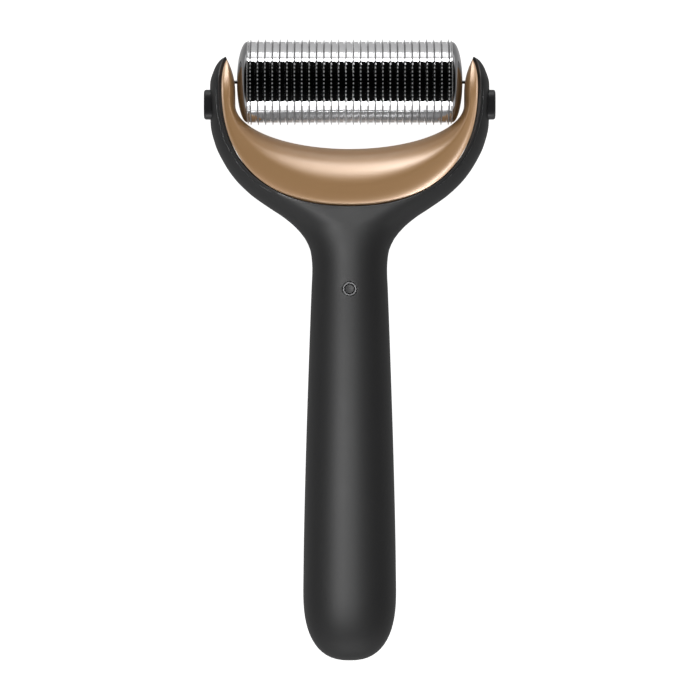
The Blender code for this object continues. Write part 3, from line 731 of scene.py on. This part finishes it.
def casing_skin():
    """The whole outer skin: rings along the handle, a fan at the neck, strips round the arms."""
    bm = bmesh.new()

    def new(point):
        return bm.verts.new(Vector(point) * MM)

    def quads(a, b, lip=range(0)):
        for k in range(len(a) - 1):
            corners = [a[k], a[k + 1], b[k + 1], b[k]]
            face = bm.faces.new(list(dict.fromkeys(corners)))
            face.material_index = 1 if k in lip else 0

    end_length = WIDEST_Y - END_Y
    places = [WIDEST_Y - end_length * cos(pi / 2 * k / END_STEPS) for k in range(END_STEPS)]
    y = WIDEST_Y
    while y < NECK_Y - 0.5:
        places.append(y)
        y += FINE_ROW if abs(y - SWITCH_Y) < FINE_REACH else BROAD_ROW
    places.append(NECK_Y)
    rows = []
    for y in places:
        half = section_size(y)[0]
        front = [new((half * c, y, casing_height(half * c, y, 1))) for c in columns]
        back = [new((half * c, y, casing_height(half * c, y, -1))) for c in columns[1:-1]]
        rows.append((front, [front[0], *back, front[-1]]))
    for near, far in zip(rows, rows[1:]):
        quads(near[0], far[0])
        quads(near[1], far[1])
    neck_front, neck_back = rows[-1]

    def strip(outer, seam, gold, first_front, first_back):
        front, back = strip_points(outer, seam, gold)
        front = [first_front, *(new(p) for p in front[1:])]
        back = [first_back, *(new(p) for p in back[1:])]
        wall_top, wall_low = front[-1].co, back[-1].co
        wall = [bm.verts.new(wall_top.lerp(wall_low, t)) for t in (0.25, 0.5, 0.75)]
        return [*front, *wall, *back[::-1]]

    fan = []
    for k, (c, angle) in enumerate(zip(columns, fan_angles)):
        ends = seam_point(angle), gold_edge_point(angle)
        fan.append(strip((neck_half * c, NECK_Y), *ends, neck_front[k], neck_back[k]))
    # The lip's rows take the second slot, the lip finish with its painted highlight.
    lip_rows = range(REACH_STEPS, REACH_STEPS + len(LIP_TURNS))
    for a, b in zip(fan, fan[1:]):
        quads(a, b, lip_rows)
    for sign, first in ((-1, fan[0]), (1, fan[-1])):
        last = first
        for ends in list(zip(arm_side, arm_seam, arm_gold))[1:]:
            outer, seam, gold = ((sign * x, y) for x, y in ends)
            edge = new((*outer, casing_height(*outer, 1)))
            now = strip(outer, seam, gold, edge, edge)
            quads(last, now, lip_rows)
            last = now
        bm.faces.new(last[:-1])
    pole = Vector((0.0, places[0], section_size(places[0])[2])) * MM
    span = max((vert.co - pole).length for vert in rows[0][0] + rows[0][1]) / MM
    print("the first row reaches", round(span, 3), "mm from the handle's end point")
    bmesh.ops.pointmerge(bm, verts=list(set(rows[0][0] + rows[0][1])), merge_co=pole)
    bmesh.ops.remove_doubles(bm, verts=bm.verts[:], dist=0.0005 * MM)
    return bm


def half_skin(skin, height, keep):
    """The part of the skin on one side of the parting plane."""
    half = skin.copy()
    everything = half.verts[:] + half.edges[:] + half.faces[:]
    bmesh.ops.bisect_plane(
        half, geom=everything, plane_co=(0, 0, height * MM), plane_no=(0, 0, keep), clear_inner=True
    )
    return half


# %% Split the skin into two shells and give them their wall
WALL = 0.9 * MM
THIN_SHARE = 0.06
THINNER_FROM_Y, THINNEST_Y = 70.0, 75.0
skin = casing_skin()
bmesh.ops.recalc_face_normals(skin, faces=skin.faces[:])
print("casing skin:", len(skin.faces), "faces")
casing = {}
for word, height, keep in (("front", SPLIT_Z + SPLIT_GAP, 1), ("rear", SPLIT_Z - SPLIT_GAP, -1)):
    shell = mesh_object(f"{word}_casing", half_skin(skin, height, keep), 0.7)
    shell.data.materials.append(soft_touch)
    shell.data.materials.append(lip_black_painted_highlight)
    depth = shell.vertex_groups.new(name="depth")
    for vertex in shell.data.vertices:
        past = (vertex.co.y / MM - THINNER_FROM_Y) / (THINNEST_Y - THINNER_FROM_Y)
        near_tip = min(max(past, 0.0), 1.0)
        depth.add([vertex.index], 1.0 - near_tip, "REPLACE")
    wall = shell.modifiers.new("wall", "SOLIDIFY")
    wall.thickness = WALL
    wall.offset = -1
    wall.vertex_group = "depth"
    wall.thickness_vertex_group = THIN_SHARE
    casing[word] = apply_modifiers(shell)
skin.free()


# %% [markdown]
# ### Openings in the shells
# The release buttons stand in rounded windows in the arms, the switch in a round well, and the
# two charging contacts in small holes at the back. The cutters are the buttons' own outlines,
# a little larger. Behind the seam, pockets make room for the latch that swings in each arm.

# %% Outlines and cutters
BUTTON_Y, BUTTON_Z = 63.2, 12.0
BUTTON_HALF_Y, BUTTON_HALF_Z = 3.85, 3.0
SQUARENESS = 0.75
CONTACT_X, CONTACT_Y = 3.0, -64.0
WINDOW_GAP = 0.12


def pad_ring(x, grow, count=64):
    """The release button's rounded outline at a distance from the middle."""
    ring = []
    for k in range(count):
        across, up = cos(2 * pi * k / count), sin(2 * pi * k / count)
        right, top = (1 if across > 0 else -1), (1 if up > 0 else -1)
        y = BUTTON_Y + (BUTTON_HALF_Y + grow) * right * abs(across) ** SQUARENESS
        z = BUTTON_Z + (BUTTON_HALF_Z + grow) * top * abs(up) ** SQUARENESS
        ring.append((x, y, z))
    return ring


def pad_form(name, steps, sharp=0.6):
    """A closed form through outlines, given as (distance from the middle, grow)."""
    bm = bmesh.new()
    rows = [[bm.verts.new(Vector(p) * MM) for p in pad_ring(x, grow)] for x, grow in steps]
    count = len(rows[0])
    for low, high in zip(rows, rows[1:]):
        for k in range(count):
            n = (k + 1) % count
            bm.faces.new((low[k], low[n], high[n], high[k]))
    bm.faces.new(rows[0])
    bm.faces.new(rows[-1])
    return mesh_object(name, bm, sharp)


def rod(name, radius, start, axis, length, sides=48):
    """A plain round bar from a start point."""
    profile = [(0.0, 0.0), (radius * MM, 0.0), (radius * MM, length * MM), (0.0, length * MM)]
    return turned(name, profile, axis, Vector(start) * MM, sides)


POCKETS = (
    (Vector((30.0, 58.6, 8.4)), Vector((34.3, 66.9, 15.6))),
    (Vector((30.45, 66.5, 8.5)), Vector((34.25, 71.0, 15.5))),
)


def latch_pocket(low, high, side):
    """A box that clears the latch and the pad's flange, hidden between saddle and casing."""
    bm = bmesh.new()
    bmesh.ops.create_cube(bm, size=1.0)
    middle = (low + high) / 2
    middle.x *= side
    bmesh.ops.scale(bm, vec=(high - low) * MM, verts=bm.verts[:])
    bmesh.ops.translate(bm, vec=middle * MM, verts=bm.verts[:])
    return mesh_object("latch_pocket", bm, 0.7)


# %% Cut the openings
for side in (-1, 1):
    for corners in POCKETS:
        cut(casing["front"], latch_pocket(*corners, side))
    window_steps = ((side * 34.3, WINDOW_GAP), (side * 39.0, WINDOW_GAP))
    cut(casing["front"], pad_form("window", window_steps))
    hole = rod("hole", 1.12, (side * CONTACT_X, CONTACT_Y, -2.0), (0, 0, 1), 6.0)
    cut(casing["rear"], hole)
cut(casing["front"], rod("well", RING_RADIUS + 0.06, (0, SWITCH_Y, 12.0), (0, 0, 1), 12.0, 64))
show(casing["front"], soft_touch, "body", "casing", "front_shell")
for shell in casing.values():
    for_casing.objects.link(shell)
show(casing["rear"], soft_touch, "body", "casing", "rear_shell")
for word, shell in casing.items():
    print(word, "casing:", len(shell.data.polygons), "faces")

# %% [markdown]
# ## The saddle
# The gold piece is a U that bulges between its free edge and the seam. One section, swept round
# the yoke, gives both the broad middle and the slim arms. The section rises steeply from the
# free edge and stays nearly flat from its highest line to the seam. That line lies two thirds
# of the way to the seam in front, and a little short of the middle in the arms.

# %% The saddle's free edge and its section
FREE_X, FREE_Y, FREE_MIDDLE = 29.44, 11.25, 63.2
SEAM_GAP = 0.12
FREE_TAPER_FROM_Y = 66.0


def free_point(angle):
    """A point of the free edge that faces the drum, at an angle from straight down."""
    return FREE_X * sin(angle), FREE_MIDDLE - FREE_Y * cos(angle)


def free_arm_point(share):
    """The free edge along an arm. It bends over to meet the seam at the tip."""
    y = FREE_MIDDLE + (GOLD_TIP_Y - FREE_MIDDLE) * share
    rise = max(0.0, (y - FREE_TAPER_FROM_Y) / (GOLD_TIP_Y - FREE_TAPER_FROM_Y))
    return FREE_X + (GOLD_TIP_X - FREE_X) * rise**2.2, y


def bulge(share, crest):
    """Height of the section, as a share of the full height, from the free edge to the seam."""
    if share < crest:
        return rounded(1 - share / crest, 1.7)
    return 1 - 0.08 * ((share - crest) / (1 - crest)) ** 5


def saddle_ring(free, seam):
    """One closed section. Its highest line lies nearer the seam in front than in the arms."""
    a, b = Vector((*free, 0.0)), Vector((*seam, 0.0))
    width = (b - a).length
    b = a + (b - a) * max(0.5, 1 - SEAM_GAP / max(width, 0.01))
    crest = 0.66 - 0.24 * (seam[0] / SEAM_X) ** 2
    shares = [crest * (1 - cos(pi / 2 * k / 14)) for k in range(15)]
    shares += [crest + (1 - crest) * sin(pi / 2 * k / 14) for k in range(1, 15)]
    ring = []
    for side, order in ((1, shares), (-1, shares[:0:-1])):
        for share in order:
            point = a.lerp(b, share)
            _, _, middle, half_depth = section_size(point.y)
            point.z = max(middle + side * (half_depth - 0.05) * bulge(share, crest), 0.55)
            ring.append(point * MM)
    return ring


def closed_sweep(name, rings, sharp=0.8):
    """A closed form through rings of points."""
    bm = bmesh.new()
    rows = [[bm.verts.new(p) for p in ring] for ring in rings]
    count = len(rows[0])
    for low, high in zip(rows, rows[1:]):
        for k in range(count):
            n = (k + 1) % count
            bm.faces.new((low[k], low[n], high[n], high[k]))
    bm.faces.new(rows[0])
    bm.faces.new(rows[-1])
    bmesh.ops.remove_doubles(bm, verts=bm.verts[:], dist=0.0005 * MM)
    return mesh_object(name, bm, sharp)


# %% Sweep the saddle
arm_shares = [0.99 * sin(pi / 2 * k / 26) for k in range(1, 27)]
right_arm = [(free_arm_point(s), gold_arm_point(s)) for s in arm_shares]
left_arm = [((-a[0], a[1]), (-b[0], b[1])) for a, b in reversed(right_arm)]
angles = [pi * (k / 120 - 0.5) for k in range(121)]
pairs = left_arm + [(free_point(a), gold_edge_point(a)) for a in angles] + right_arm
saddle = closed_sweep("gold_saddle", [saddle_ring(a, b) for a, b in pairs])
for side in (-1, 1):
    for corners in POCKETS:
        cut(saddle, latch_pocket(*corners, side))
    cut(saddle, rod("bush", 0.55, (side * 27.5, 69.0, 12.0), (side, 0, 0), 3.6, 32))
show(saddle, saddle_gold, "body", "cradle", "cradle")
for_saddle.objects.link(saddle)
print("saddle:", len(saddle.data.polygons), "faces")

# %% [markdown]
# ## The drum
# Twenty-eight thin discs with 64 spikes each carry the treatment, and dark chrome spacers
# between them set how deep the spikes reach. All the discs share one mesh and all the spacers
# another. The spikes are ground bright, and the disc between them is painted black as painted
# shade for the gaps between the spacers, so a row of spikes reads as a dashed line.

# %% The toothed discs
DISC_COUNT, DISC_PITCH, DISC_HALF = 28, 1.881, 0.15
TEETH, TIP_R, ROOT_R, HOLE_R = 64, 11.0, 9.9, 8.75
SHOULDER_R = 10.65
# Slots of the disc: bright steel for the spikes, black painted shade for the rest.
BRIGHT, PAINTED_SHADE = 0, 1


def disc_mesh():
    """A ring with spikes: each spike narrows to its tip in both directions and is ground bright; the
    rest of the disc is painted black as painted shade.
    """
    bm = bmesh.new()
    step = 2 * pi / TEETH
    rising = ((-0.5, ROOT_R), (-0.22, ROOT_R), (-0.17, SHOULDER_R), (0.0, TIP_R))
    shape = (*rising, (0.17, SHOULDER_R), (0.22, ROOT_R))
    count = len(shape)
    rings = []
    for side in (-1, 1):
        outer, inner = [], []
        for tooth in range(TEETH):
            for share, radius in shape:
                angle = (tooth + share) * step
                x = side * DISC_HALF * (1 - 0.5 * (radius - ROOT_R) / (TIP_R - ROOT_R))
                outer.append(bm.verts.new(Vector((x, radius * cos(angle), radius * sin(angle))) * MM))
            angle = tooth * step
            point = Vector((side * DISC_HALF, HOLE_R * cos(angle), HOLE_R * sin(angle)))
            inner.append(bm.verts.new(point * MM))
        for tooth in range(TEETH):
            a, b, c, d, e, f = outer[tooth * count : (tooth + 1) * count]
            after = outer[(tooth + 1) * count % len(outer)]
            low, low_after = inner[tooth], inner[(tooth + 1) % TEETH]
            for corners in ((b, c, e, f), (c, d, e)):
                bm.faces.new(corners)
            # The disc's sides below the spikes take the black painted shade.
            for corners in ((low, a, b, f, after), (low, after, low_after)):
                bm.faces.new(corners).material_index = PAINTED_SHADE
        rings.append((outer, inner))
    (outer_a, inner_a), (outer_b, inner_b) = rings
    for a, b in ((outer_a, outer_b), (inner_a, inner_b)):
        for k in range(len(a)):
            n = (k + 1) % len(a)
            face = bm.faces.new((a[k], a[n], b[n], b[k]))
            spike = len(a) > TEETH and k % count in (1, 2, 3, 4)
            face.material_index = BRIGHT if spike else PAINTED_SHADE
    return mesh_object("disc_pattern", bm, 0.4).data


def place_copy(name, mesh, x):
    """Another object with the same mesh, on the drum's axis."""
    obj = bpy.data.objects.new(name, mesh)
    obj.location = (x * MM, DRUM.y, DRUM.z)
    bpy.context.scene.collection.objects.link(obj)
    return obj


# %% Place the discs
disc_places = [(k - (DISC_COUNT - 1) / 2) * DISC_PITCH for k in range(DISC_COUNT)]
pattern = disc_mesh()
pattern.materials.append(tooth_steel)
pattern.materials.append(disc_painted_shade)
for k, x in enumerate(disc_places, 1):
    disc = place_copy(f"spiked_disc_{k:02d}", pattern, x)
    show(disc, tooth_steel, "roller", "needle_disc", f"needle_disc_{k:02d}")
bpy.data.objects.remove(bpy.data.objects["disc_pattern"])
print(DISC_COUNT, "discs of", len(pattern.polygons), "faces")

# %% [markdown]
# ### Spacers
# A spacer is turned from a profile: a wide land, a narrow groove and a thin lip. The corners
# are broken by a hair's breadth only, which keeps the land flat, and the groove and the lip
# give the fine lines that run round the drum.

# %% The spacers
LAND_R, EDGE_R, GROOVE_R, CORE_R = 10.4, 10.385, 9.95, 8.55
SHAFT_HOLE_R = 3.2
SPACER_SIDES = 128
spacer_profile = (
    (SHAFT_HOLE_R, -0.15), (CORE_R, -0.15), (CORE_R, 0.19), (EDGE_R, 0.19), (LAND_R, 0.205),
    (LAND_R, 1.235), (EDGE_R, 1.25), (GROOVE_R, 1.25), (GROOVE_R, 1.44), (EDGE_R, 1.44),
    (LAND_R, 1.455), (LAND_R, 1.675), (EDGE_R, 1.69), (SHAFT_HOLE_R, 1.69),
)
profile = [(r * MM, d * MM) for r, d in spacer_profile]
first = turned("spacer_pattern", profile, (1, 0, 0), (0, 0, 0), SPACER_SIDES, 0.3)
for k, x in enumerate(disc_places[:-1], 1):
    ring = place_copy(f"spacer_ring_{k:02d}", first.data, x)
    show(ring, dark_chrome, "roller", "spacer", "spacer_stack")
bpy.data.objects.remove(first)
print("spacers:", DISC_COUNT - 1)

# %% The washers that close the stack
for word, side in (("left", -1), ("right", 1)):
    washer = [(SHAFT_HOLE_R, 0.18), (10.2, 0.18), (10.3, 0.24), (10.3, 0.5), (10.2, 0.56)]
    washer = [(r * MM, d * MM) for r, d in washer + [(SHAFT_HOLE_R, 0.56)]]
    centre = (side * disc_places[-1] * MM, DRUM.y, DRUM.z)
    piece = turned(f"{word}_end_washer", washer, (side, 0, 0), centre)
    show(piece, dark_chrome, "roller", "spacer")
    print(word, "washer at x =", round(centre[0] / MM, 2), "mm")

# %% [markdown]
# ### The ends of the drum
# Each end has a thin bright flange and a domed cap. The cap is polished, so it mirrors the gold
# arm beside it. A turned profile keeps the dome true, and its rim is broken by a small round.

# %% Flanges and caps
CAP_BASE, CAP_APEX, CAP_R, SOCKET_R = 26.35, 29.05, 10.36, 0.53
for word, side in (("left", -1), ("right", 1)):
    rim = ((3.3, 0.0), (10.62, 0.0), (10.7, 0.06), (10.7, 0.19), (10.62, 0.25), (3.3, 0.25))
    flange = [(r * MM, d * MM) for r, d in rim]
    piece = turned(f"{word}_bright_flange", flange, (side, 0, 0), (side * 26.0 * MM, DRUM.y, DRUM.z))
    show(piece, mirror_steel, "roller", "polished_steel", f"{word}_flange")
    height = CAP_APEX - CAP_BASE
    dome = [(0.0, 0.0), (CAP_R - 0.1, 0.0), (CAP_R, 0.1)]
    dome += [(CAP_R * cos(a), height * sin(a)) for a in [pi / 2 * k / 22 for k in range(1, 22)]]
    dome += [(SOCKET_R + 0.12, height), (SOCKET_R, height - 0.1), (SOCKET_R, 1.3), (0.0, 1.3)]
    dome = [(r * MM, d * MM) for r, d in dome]
    centre = (side * CAP_BASE * MM, DRUM.y, DRUM.z)
    piece = turned(f"{word}_domed_cap", dome, (side, 0, 0), centre, 128, 0.7)
    show(piece, smoked_chrome, "roller", "end_cap", f"{word}_end_cap")

# %% [markdown]
# ## Buttons
# The release buttons are soft pads with a slightly dished face. The switch on the front is a
# small disc in a thin metal ring, with a groove between them.

# %% Release buttons
for word, side in (("left", -1), ("right", 1)):
    steps = [(33.6, 0.3), (34.2, 0.3), (34.25, 0.0), (36.9, 0.0)]
    steps += [(36.9 + 0.6 * sin(a), -0.6 * (1 - cos(a))) for a in (0.3, 0.6, 0.9, 1.2, pi / 2)]
    steps += [(37.49, -1.1), (37.42, -1.7), (37.38, -2.4)]
    steps = [(side * x, grow) for x, grow in steps]
    pad = pad_form(f"{word}_release_pad", steps, 0.7)
    show(pad, button_grey, f"{word}_button", "release_button", f"{word}_release_button")
    low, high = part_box(f"{word}_release_button")
    print(word, "pad stands out to", round(max(abs(low.x), abs(high.x)) / MM, 2), "mm")

# %% Front switch
top = casing_height(0.0, SWITCH_Y, 1)
ring = [(1.32, -2.0), (RING_RADIUS, -2.0), (RING_RADIUS, -0.03), (1.72, 0.02), (1.68, 0.04)]
ring += [(1.44, 0.04), (1.39, 0.02), (1.36, -0.03), (1.32, -0.2)]
ring = [(r * MM, d * MM) for r, d in ring]
piece = turned("switch_ring", ring, (0, 0, 1), (0, SWITCH_Y * MM, top * MM))
show(piece, ring_metal, "body", "button_ring", "button_ring")
for_casing.objects.link(piece)
disc = [(0.0, -3.8), (1.15, -3.8), (1.15, -0.12), (1.12, -0.05), (1.05, -0.01)]
disc += [(0.8, -0.03), (0.4, -0.08), (0.0, -0.09)]
disc = [(r * MM, d * MM) for r, d in disc]
piece = turned("switch_disc", disc, (0, 0, 1), (0, SWITCH_Y * MM, top * MM))
show(piece, switch_black, "switch_button", "power_button", "power_button")
for_casing.objects.link(piece)

# %% [markdown]
# ## What is inside
# The latch, the board, the cell and the motor already have their right shapes in the frame, so
# they stay as they are and only get their finishes.

# %% Finishes for the pieces that stay
KEPT = {
    "core_shaft": mirror_steel,
    "left_pivot_pin": spring_steel,
    "right_pivot_pin": spring_steel,
    "left_rocker_pin": spring_steel,
    "right_rocker_pin": spring_steel,
    "left_latch_spring": spring_steel,
    "right_latch_spring": spring_steel,
    "left_latch_rocker": latch_nylon,
    "right_latch_rocker": latch_nylon,
    "tact_switch": latch_nylon,
    "circuit_board": board_green,
    "battery_cell": cell_sleeve,
    "vibration_motor": spring_steel,
    "motor_weight": contact_gold,
    "left_charge_contact": contact_gold,
    "right_charge_contact": contact_gold,
}
for name, material in KEPT.items():
    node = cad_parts[name]
    node.data.materials.clear()
    node.data.materials.append(material)
print("kept", len(KEPT), "CAD pieces")

# %% [markdown]
# ## Sizes
# The box of the finished model is shown beside the CAD's, so that the two can be compared.

# %% Show the sizes and finish
[[list(corner) for corner in box] for box in (cad_box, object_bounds())]
